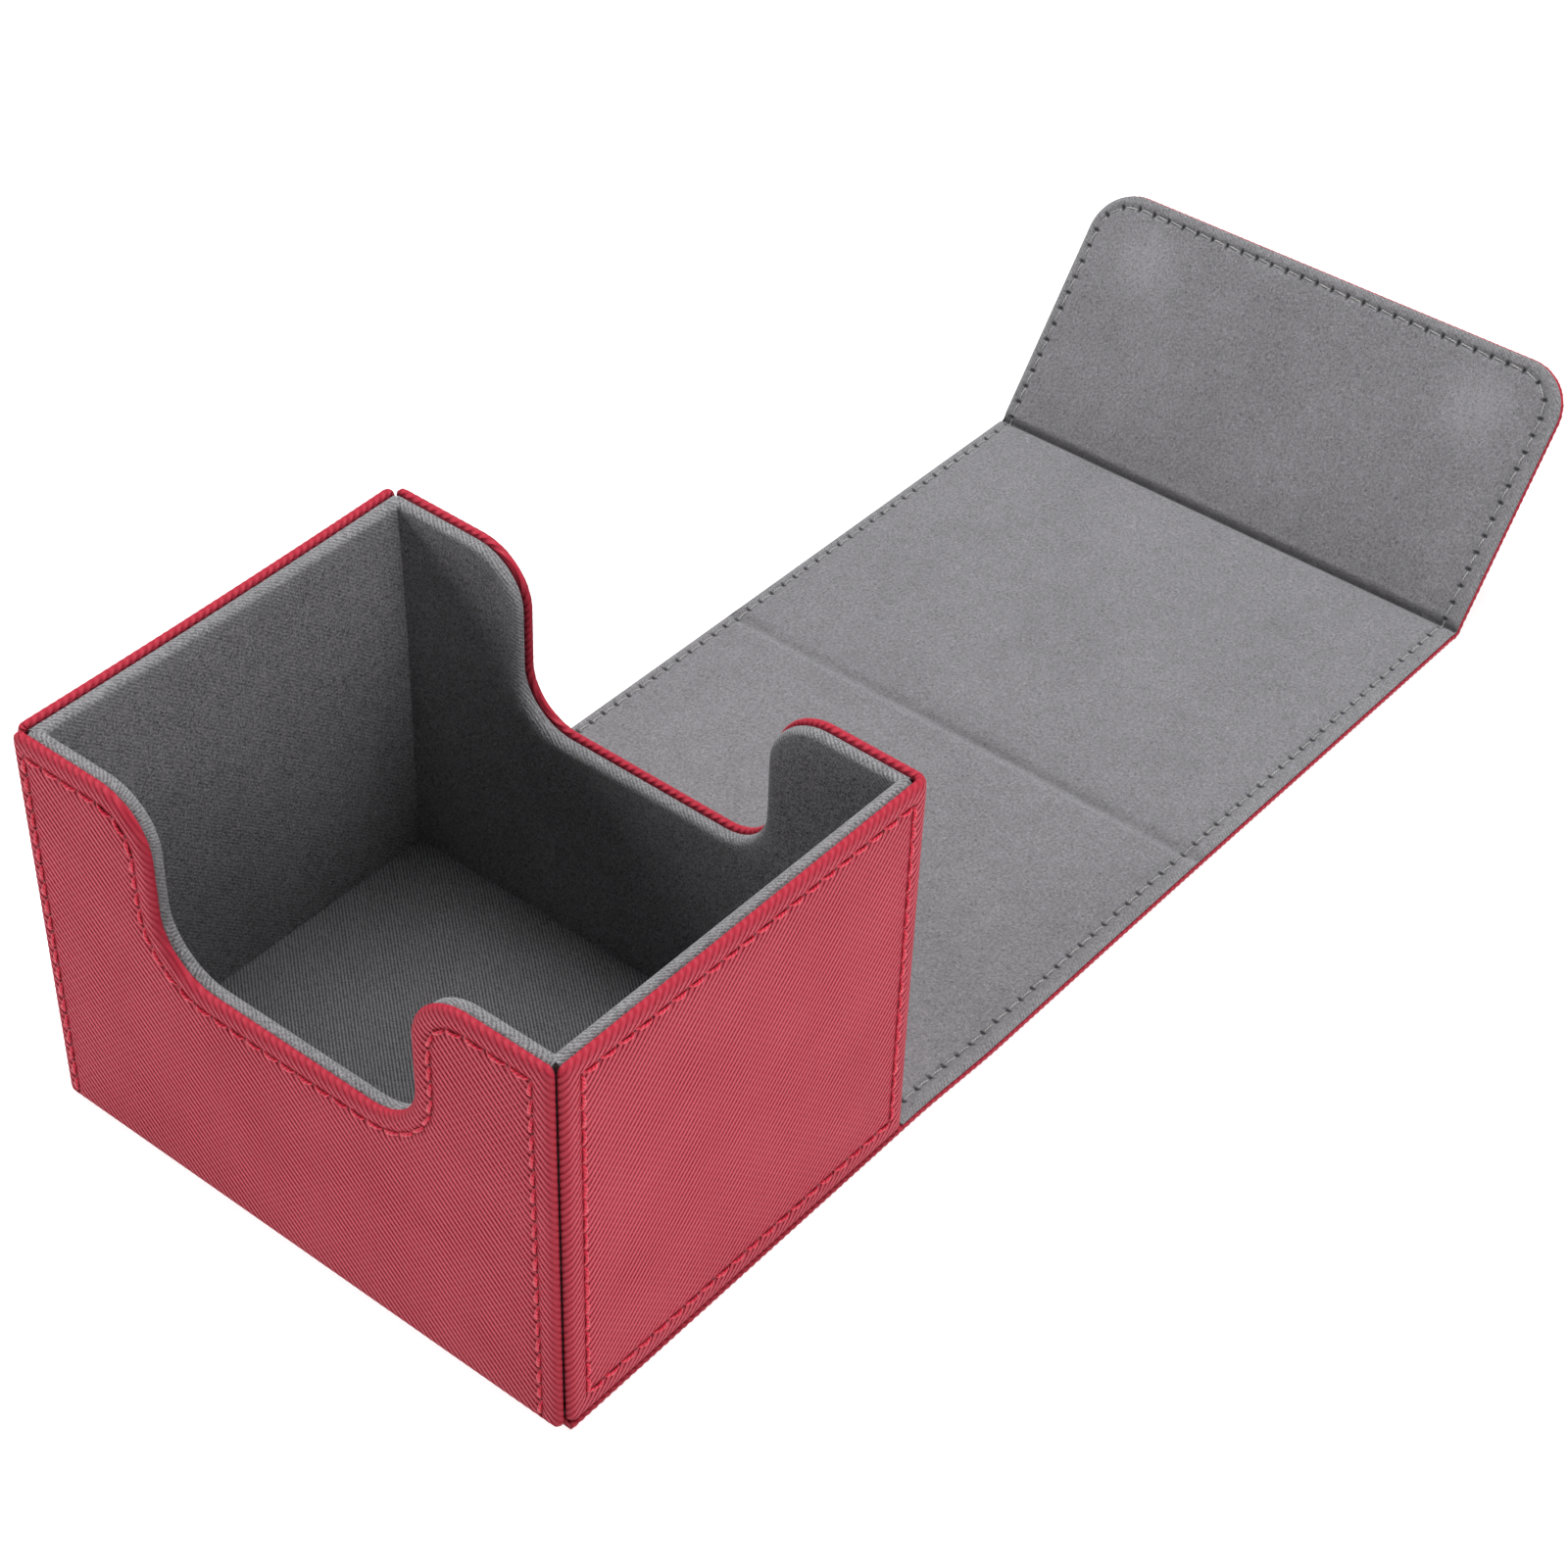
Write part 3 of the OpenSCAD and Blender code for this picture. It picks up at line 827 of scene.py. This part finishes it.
def wall_corners(bounds, notch, inset):
    """Corners of a wall, counter-clockwise from the bottom left, drawn in by inset. notch
    is the middle of its finger notch, its lowest height, half width and lower radius."""
    left, right, bottom, top = bounds
    r = max(WALL_CORNER_R - inset, 0.3)
    points = [(left + inset, bottom + inset, r), (right - inset, bottom + inset, r),
              (right - inset, top - inset, r)]
    if notch:
        middle, floor, half, lower = notch
        half, floor = half + inset, floor - inset
        points += [(middle + half, top - inset, NOTCH_R - inset),
                   (middle + half, floor, lower + inset), (middle - half, floor, lower + inset),
                   (middle - half, top - inset, NOTCH_R - inset)]
    return points + [(left + inset, top - inset, r)]


def wall_seam(bounds, notch, insets, open_bottom=False):
    """Seam of a wall. insets are its distances from the left, right, top and bottom edges
    and from the notch. It starts at the bottom right and runs round to the bottom left."""
    left, right, bottom, top = bounds
    i_left, i_right, i_top, i_bottom, i_notch = insets
    low = bottom + i_bottom
    points = [(right - i_right, low, 0), (right - i_right, top - i_top, 0)]
    if notch:
        middle, floor, half, lower = notch
        half, floor = half + i_notch, floor - i_notch
        shoulder, lower = NOTCH_R - i_notch, lower + i_notch
        points += [(middle + half, top - i_top, shoulder), (middle + half, floor, lower),
                   (middle - half, floor, lower), (middle - half, top - i_top, shoulder)]
    points += [(left + i_left, top - i_top, 0), (left + i_left, low, 0)]
    return Seam(points, STITCH, closed=not open_bottom)


def ride_as(piece, body, slot, *nodes):
    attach(piece, body)
    if nodes:
        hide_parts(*nodes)


def leather_wall(name, walls, bounds, notch, place, seam, lean, bends=()):
    """A leather wall with its rolled edges, and the seam along them."""
    def outline(inset, _=0):
        return wall_corners(bounds, notch, inset)

    edge = Path(fillet_path(outline(0), step=0.4)[0])
    height = sewn_height(seam, edge, groove=0.20, pillow=0.14, crown=0.14, hole=0.10)
    skin = slab(name + "_leather_skin", LEATHER, outline, bullnose(ROLL_OUT, ROLL_IN, SHELL_T),
                place, extra=seam_rings(seam) + list(bends), height=height, ribs=0.05,
                seam=seam, lean=lean, rim=(edge, 1.3), back_extra=bends, back_grid=6.0)
    ride_as(skin, "tray", "crimson_leather", *[w + "_leather" for w in walls])
    thread = threads(name + "_seam", RED_THREAD, seam.stitches(), place, lambda p: -height(p))
    ride_as(thread, "tray", "crimson_thread", *[w + "_thread" for w in walls])


def stiffener(name, node, material, bounds, notch, place, slot, front, back):
    """A board or card hidden inside a wall."""
    piece = slab(name, material, lambda *_: wall_corners(bounds, notch, 1.0),
                 [(0, front, 1, 0), (0, back, 1, 0)], place, step=3.0, grid=8.0, back_grid=8.0,
                 spacing=2.0)
    ride_as(piece, "tray", slot, node)


BACK_CENTRE = BEND_END + (HALF_W - BEND_R)                # the strip's u at the back's middle
BACK_END = BACK_CENTRE + WALL_HALF_W                      # its end at the back left
FRONT_NOTCH = (NOTCH_LOW, NOTCH_HALF, NOTCH_R)
BACK_NOTCH = (NOTCH_LOW + 0.5, NOTCH_HALF - 0.8, NOTCH_R - 1.0)
BEND_COLUMNS = [np.array([(u, v) for v in np.arange(2.5, TOP, 1.5)])
                for u in np.linspace(BEND_START, BEND_END, 9)]
BOARD_IN, CARD_IN = 2.5, 3.2          # hidden boards and cards from a wall's ends
BOARD_AT, CARD_AT = (0.55, 1.15), (SHELL_T + 0.5, SHELL_T + 1.2)      # and their depths
FRONT_SEAM = (2.1, 3.5, 3.6, 1.0, 3.4)        # insets from left, right, top, bottom, notch
RIGHT_SEAM = (3.6, 3.9, 3.2, 3.9, 0)
BACK_SEAM = (3.6, 3.6, 3.2, 3.7, 3.4)
LEFT_SEAM = (3.3, 3.6, 3.4, 3.4, 0)


def build_walls():
    front = (-FRONT_LEFT, WALL_HALF_W, 0.0, TOP)
    side_back = (-WALL_HALF_D, BACK_END, STRIP_T, TOP)
    side = (-WALL_HALF_D, HALF_D, STRIP_T, TOP)
    back = (BEND_END - BEND_R, BACK_END, STRIP_T, TOP)
    left = (-WALL_HALF_D, HALF_D - SHELL_T - 0.1, STRIP_T, TOP)
    front_notch, back_notch = (0.0, *FRONT_NOTCH), (BACK_CENTRE, *BACK_NOTCH)
    leather_wall("front", ["front"], front, front_notch, on_front,
                 wall_seam(front, front_notch, FRONT_SEAM, True), -1)
    leather_wall("side_back", ["right", "back"], side_back, back_notch, round_the_back,
                 Seams(wall_seam(side, None, RIGHT_SEAM), wall_seam(back, back_notch, BACK_SEAM)),
                 1, BEND_COLUMNS)
    leather_wall("left", ["left"], left, None, on_left, wall_seam(left, None, LEFT_SEAM), 1)

    low, high = FLOOR_Z - 1.0, LINING_TOP
    for wall, place, inner, half, notch in (
            ("front", on_front, front_panel, HALF_W, front_notch),
            ("right", on_right, on_right, HALF_D, None),
            ("back", on_back, on_back, HALF_W, (0.0, *BACK_NOTCH)),
            ("left", on_left, on_left, HALF_D, None)):
        board = (-half + BOARD_IN, half - BOARD_IN, STRIP_T, high)
        card = (-half + CARD_IN, half - CARD_IN, low, high - 0.3)
        stiffener(wall + "_stiff_board", wall + "_board", BOARD, board, notch, place,
                  "greyboard", *BOARD_AT)
        stiffener(wall + "_stiff_card", wall + "_card", CARD, card, notch, inner,
                  "liner_card", *CARD_AT)
        lining_wall(wall, half, notch, inner)


# ---- wall linings and floor

LINING_ROLL = 1.0                     # radius of the rim
LINING_BEVEL = 1.0                    # cut from the outer corner of a mitred end
FLOOR_IN = SHELL_T + 0.8              # the floor's edge hides under the wall linings


def lining_wall(wall, half, notch, outer_place):
    """A padded lining panel: mitred at its ends, with a round rim. Its front face is the
    one towards the cards."""
    inner_half = half - SHELL_T - PANEL_T
    drop = TOP - LINING_TOP

    def outline(inset, depth):
        ends, cut = inner_half + min(depth, PANEL_T - LINING_BEVEL), drop + inset
        points = [(-ends, FLOOR_Z - 0.6, 0), (ends, FLOOR_Z - 0.6, 0), (ends, TOP - cut, 0)]
        if notch:
            wide, floor, lower = notch[2] + cut, notch[1] - cut, notch[3] + cut
            points += [(wide, TOP - cut, NOTCH_R - cut), (wide, floor, lower),
                       (-wide, floor, lower), (-wide, TOP - cut, NOTCH_R - cut)]
        return points + [(-ends, TOP - cut, 0)]

    def place(u, v, w):
        return outer_place(-u, v, SHELL_T + PANEL_T - w)

    def soft(uv):
        edge = np.clip(LINING_TOP - uv[:, 1], 0, 99)
        wave = 0.10 * np.sin(uv[:, 0] / 9.0 + 0.7) * np.sin(uv[:, 1] / 11.0)
        return (0.12 * (1 - np.exp(-edge / 4)) + wave) * np.clip(edge / 6, 0, 1)

    piece = slab(wall + "_lining_panel", WALL_LINING, outline,
                 bullnose(LINING_ROLL, LINING_ROLL, PANEL_T), place, step=0.35, height=soft,
                 grid=3.0, spacing=0.5, back_grid=6.0)
    top_rim(piece, outline)
    ride_as(piece, "tray", "grey_lining", wall + "_lining")


def top_rim(piece, outline):
    """Marks the lining's upper edge and the edge of its notch, not its ends and foot, where the
    lining is painted paler as a painted highlight.
    """
    corners = outline(0, 0)[2:]
    line = Path(fillet_path(corners + [(corners[-1][0], 300, 0), (corners[0][0], 300, 0)],
                            step=0.5)[0])
    pattern, sewn = np.zeros((2, len(piece.data.vertices), 3), np.float32)
    for key, values in (("pat", pattern), ("sewn", sewn)):
        piece.data.attributes[key].data.foreach_get("vector", values.ravel())
    sewn[:, 2] = np.clip(1.2 - line.near(pattern[:, :2])[0] / 2.6, 0, 1)
    piece.data.attributes["sewn"].data.foreach_set("vector", sewn.ravel())


def build_floor():
    half_w, half_d = HALF_W - FLOOR_IN, HALF_D - FLOOR_IN

    def outline(inset, _=0):
        return [(-half_w + inset, -half_d + inset, 0.4), (half_w - inset, -half_d + inset, 0.4),
                (half_w - inset, half_d - inset, 0.4), (-half_w + inset, half_d - inset, 0.4)]

    def soft(uv):
        edge = np.minimum(HALF_W - WALL_T - np.abs(uv[:, 0]), HALF_D - WALL_T - np.abs(uv[:, 1]))
        return 0.08 * np.sin(uv[:, 0] / 13) * np.sin(uv[:, 1] / 10) \
            - 0.3 * np.exp(-np.abs(edge) / 0.8)

    thick = FLOOR_HIGH[2] - FLOOR_LOW[2]
    piece = slab("floor_lining_panel", FLOOR_LINING, outline, bullnose(0.3, 0.3, thick, 2),
                 lambda u, v, w: np.column_stack([u, v, FLOOR_Z - w]), step=0.8, height=soft,
                 grid=1.6, spacing=0.6)
    ride_as(piece, "tray", "grey_lining", "floor_lining")


# ---- the long strip and cover

SPLIT_BACK = (REAR_Y + LID_Y) / 2     # where the strip's pieces meet, in mid panel
SPLIT_LID = (LID_Y + FLAP_Y) / 2
FLAP_END = FLAP_Y + FLAP_LEN
EDGE_LEFT, EDGE_RIGHT, EDGE_END = 1.9, 3.3, 2.6     # the cover's seam from its edges
STRIP_START = -HALF_D + SHELL_T
LINING_INSET = 0.2                    # the leather's edge shows beside the lining's
MAGNET_U, MAGNET_V = 37.0, FLAP_Y + 40.4      # middles of the marks over the magnets
MAGNET_R = 7.0
LID_SINK, FLAP_SINK, REAR_SINK = 0.50, 0.75, 0.12     # how far the creases sink
BEND_ROWS = np.arange(-3.6, 3.7, 0.4)         # rows of points across a crease


def strip_corners(start, end, inset, rounded_end):
    """Corners of a length of the strip, drawn in by inset at its sides and its free end."""
    half = HALF_W - inset
    if not rounded_end:
        return [(-half, start, 0), (half, start, 0), (half, end, 0), (-half, end, 0)]
    r = FLAP_CORNER_R - inset
    return [(-half, start, 0), (half, start, 0), (half, end - inset, r), (-half, end - inset, r)]


def cover_seam(start, left, right):
    """The whole seam of the strip as one U: up the right side, round the flap and back."""
    r = FLAP_CORNER_R - EDGE_END
    points = [(HALF_W - right, start, 0), (HALF_W - right, FLAP_END - EDGE_END, r),
              (-HALF_W + left, FLAP_END - EDGE_END, r), (-HALF_W + left, start, 0)]
    return Seam(points, COVER_STITCH, closed=False)


def bump_at(v, middle, width):
    return np.exp(-((v - middle) / width) ** 2)


def folded_in(v):
    """How far the strip's inner side sinks at its creases."""
    return LID_SINK * bump_at(v, LID_Y + 0.4, 1.3) + FLAP_SINK * bump_at(v, FLAP_Y, 0.65) \
        + REAR_SINK * bump_at(v, REAR_Y, 1.6)


def creased(v):
    """Relief of the lining at its creases: a thin ridge before the lid's, and soft lips
    beside the flap's."""
    return 0.14 * bump_at(v, LID_Y - 1.5, 0.4) + 0.15 * bump_at(v, FLAP_Y + 2.1, 0.8) \
        + 0.12 * bump_at(v, FLAP_Y - 2.1, 0.8) - folded_in(v)


def fold_shade_and_magnet_marks(uv):
    """Painted shade along the folds, a thin painted highlight before the lid's crease, and
    lighter marks over the magnets.
    """
    u, v = uv.T
    ahead = v - LID_Y
    # Painted shade beyond the lid's crease and at the flap's crease, fading up the flap.
    lid = 0.30 * bump_at(v, LID_Y + 0.8, 1.2) \
        + 0.36 * np.where(ahead > 0, np.exp(-ahead / 3.4), 0)
    up = v - FLAP_Y
    flap = 0.95 * bump_at(v, FLAP_Y + 0.1, 0.55) \
        + 0.50 * np.exp(-np.abs(up) / np.where(up > 0, 5.0, 0.5))
    dark = np.clip(lid * (0.75 + 0.25 * np.sin(u / 13 + 1)) + flap, 0, 1)
    light = sum(np.exp(-(((u - x) ** 2 + (v - MAGNET_V) ** 2) / MAGNET_R ** 2) ** 2)
                for x in (-MAGNET_U, MAGNET_U))
    # A thin painted highlight on the near lip of the lid's crease.
    thin = -0.16 * bump_at(v, LID_Y - 1.3, 0.7)
    return np.column_stack([dark, light, thin])


def columns(start, end):
    """Extra points in the zones where the strip bends."""
    found = []
    for y in (REAR_Y, LID_Y, FLAP_Y):
        for v in y + BEND_ROWS:
            if start + 0.3 < v < end - 0.3:
                found.append(np.array([(u, v) for u in np.arange(-HALF_W + 1, HALF_W, 1.5)]))
    return found


def blend_as(piece, a, b, y, slot, *nodes):
    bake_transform(piece)
    if nodes:
        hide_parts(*nodes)


def between(pairs, start, end):
    """The stitches whose middles lie in a length of the strip."""
    return [(a, b) for a, b in pairs if start <= (a[1] + b[1]) / 2 < end]


def underside(u, v, w):
    return along_cover(-u, v, w)


def topside(u, v, w):
    return along_cover(u, v, COVER_T - w)


def build_strip():
    lining_start = HALF_D - 0.25
    inner_seam = cover_seam(HALF_D + 0.6, EDGE_LEFT, EDGE_RIGHT)
    outer_seam = cover_seam(STRIP_START + 1.5, EDGE_RIGHT, EDGE_LEFT)
    edge = Path(fillet_path(strip_corners(STRIP_START, FLAP_END, 0, True), step=0.5)[0])
    lining_edge = Path(fillet_path(strip_corners(0, FLAP_END, LINING_INSET, True), step=0.5)[0])
    out_height = sewn_height(outer_seam, edge, groove=0.34, pillow=0.0, crown=0.0, hole=0.04)
    sewn_in = sewn_height(inner_seam, lining_edge, groove=0.24, pillow=0.12, crown=0.10,
                          hole=0.12)
    sheet_t = COVER_T - STRIP_T

    def in_height(uv):
        ripple = 0.05 * np.sin(uv[:, 0] / 15 + 1) * np.sin(uv[:, 1] / 17)
        return sewn_in(uv) + creased(uv[:, 1]) + ripple

    for name, a, b, y, start, end, leather_nodes in (
            ("back_cover", "tray", "back_cover", REAR_Y, STRIP_START, SPLIT_BACK,
             ["base_leather", "back_cover_leather"]),
            ("lid", "back_cover", "lid", LID_Y, SPLIT_BACK, SPLIT_LID, ["lid_leather"]),
            ("flap", "lid", "flap", FLAP_Y, SPLIT_LID, FLAP_END, ["flap_leather"])):
        last = name == "flap"
        bends = columns(start, end)
        skin = slab(name + "_leather_skin", LEATHER,
                    lambda inset, _=0: strip_corners(start, end, inset, last),
                    bullnose(STRIP_T / 2, STRIP_T / 2, STRIP_T, 4), underside,
                    extra=seam_rings(outer_seam, (-0.9, -0.5, 0.0, 0.5, 0.9)) + bends,
                    height=out_height, ribs=0.10, seam=outer_seam, rim=(edge, 1.2),
                    back_extra=bends, back_grid=6.0,
                    back_height=lambda uv: -folded_in(uv[:, 1]) - 0.03)
        blend_as(skin, a, b, y, "crimson_leather", *leather_nodes)
        outer = threads(name + "_outer_seam", RED_THREAD,
                        between(outer_seam.stitches(), start, end), underside,
                        lambda p: -out_height(p), radius=0.17, sunk=0.12)
        blend_as(outer, a, b, y, "crimson_thread")

        low = max(start, lining_start)
        lining = slab(name + "_cover_lining", LINING,
                      lambda inset, _=0: strip_corners(low, end, inset + LINING_INSET, last),
                      bullnose(sheet_t / 2, sheet_t / 2, sheet_t, 3), topside, step=0.3,
                      extra=seam_rings(inner_seam) + bends, height=in_height,
                      seam=inner_seam, grid=2.4, spacing=0.3, rim=(lining_edge, 2.0),
                      back_extra=bends, back_grid=6.0,
                      back_height=lambda uv: folded_in(uv[:, 1]), tone_shift=fold_shade_and_magnet_marks)
        blend_as(lining, a, b, y, "grey_lining", name + "_lining")
        inner = threads(name + "_inner_seam", GREY_THREAD,
                        between(inner_seam.stitches(), low, end), topside,
                        lambda p: -in_height(p), radius=0.13, sunk=0.08)
        blend_as(inner, a, b, y, "grey_thread", name + "_thread")


# ---- hidden CAD pieces

def finish_hidden_nodes():
    for name, node in frame["nodes"].items():
        material = BOARD if name.endswith("board") else CARD if name.endswith("card") else \
            MAGNET if name.endswith("magnets") else None
        if material is not None:
            node.data.materials.clear()
            node.data.materials.append(material)


# ---- stage

FLOOR_SIZE, FLOOR_LEVEL = 6.0, -0.0002        # in metres, as all of the stage
FLOOR_GLOW, SKY_GLOW = 0.86, 0.09
LIGHTS = (                            # place, target, diameter and watts
    ("top_softbox", (-0.10, 0.30, 1.25), (0, 0.08, 0), 0.8, 22.5),
    ("right_softbox", (1.25, -0.10, 0.55), (0, 0.05, 0.03), 0.6, 7.4),
    ("left_softbox", (-1.15, -0.75, 0.75), (0, 0.05, 0.03), 0.6, 10.0))
CAMERA_AT = (0.25472, -0.25518, 0.37519)
CAMERA_FORWARD, CAMERA_UP = (-0.46652, 0.60104, -0.64893), (-0.42820, 0.48850, 0.76028)
LENS, SENSOR = 75.1, 36.0             # in millimetres


def build_stage():
    floor_mesh = bpy.data.meshes.new("floor")
    floor_mesh.from_pydata([(FLOOR_SIZE * x, FLOOR_SIZE * y, FLOOR_LEVEL) for x, y in
                            ((-1, -1), (1, -1), (1, 1), (-1, 1))], [], [(0, 1, 2, 3)])
    floor = new_object("floor", floor_mesh)
    g = Graph("pale_floor")
    paper = g.noise(g.scaled(g.place(), (40.0, 40.0, 40.0)), 1.0, 3.0)
    g.set(Base_Color=g.mix(paper, grey(0.34), grey(0.36)), Roughness=0.9,
          Specular_IOR_Level=0.1, Emission_Color=grey(1.0), Emission_Strength=FLOOR_GLOW)
    floor_mesh.materials.append(g.material)

    world = bpy.data.worlds.new("studio")
    world.use_nodes = True
    background = world.node_tree.nodes["Background"].inputs
    background[0].default_value, background[1].default_value = grey(1.0), SKY_GLOW
    bpy.context.scene.world = world

    for name, location, target, size, power in LIGHTS:
        light = bpy.data.lights.new(name, "AREA")
        light.shape, light.size, light.energy = "DISK", size, power
        obj = new_object(name, light)
        obj.location = location
        obj.rotation_mode = "QUATERNION"
        direction = Vector(target) - Vector(location)
        obj.rotation_quaternion = direction.to_track_quat("-Z", "Y")

    camera = bpy.data.cameras.new("camera")
    camera.lens, camera.sensor_width = LENS, SENSOR
    camera.clip_start, camera.clip_end = 0.01, 20.0
    forward = Vector(CAMERA_FORWARD).normalized()
    right = forward.cross(Vector(CAMERA_UP)).normalized()
    up = right.cross(forward).normalized()
    obj = new_object("camera", camera)
    obj.matrix_world = Matrix.Translation(CAMERA_AT) @ Matrix((right, up, -forward)) \
        .transposed().to_4x4()
    bpy.context.scene.camera = obj
    bpy.context.scene.view_settings.view_transform = "Standard"


build_walls()
build_floor()
build_strip()
finish_hidden_nodes()
build_stage()
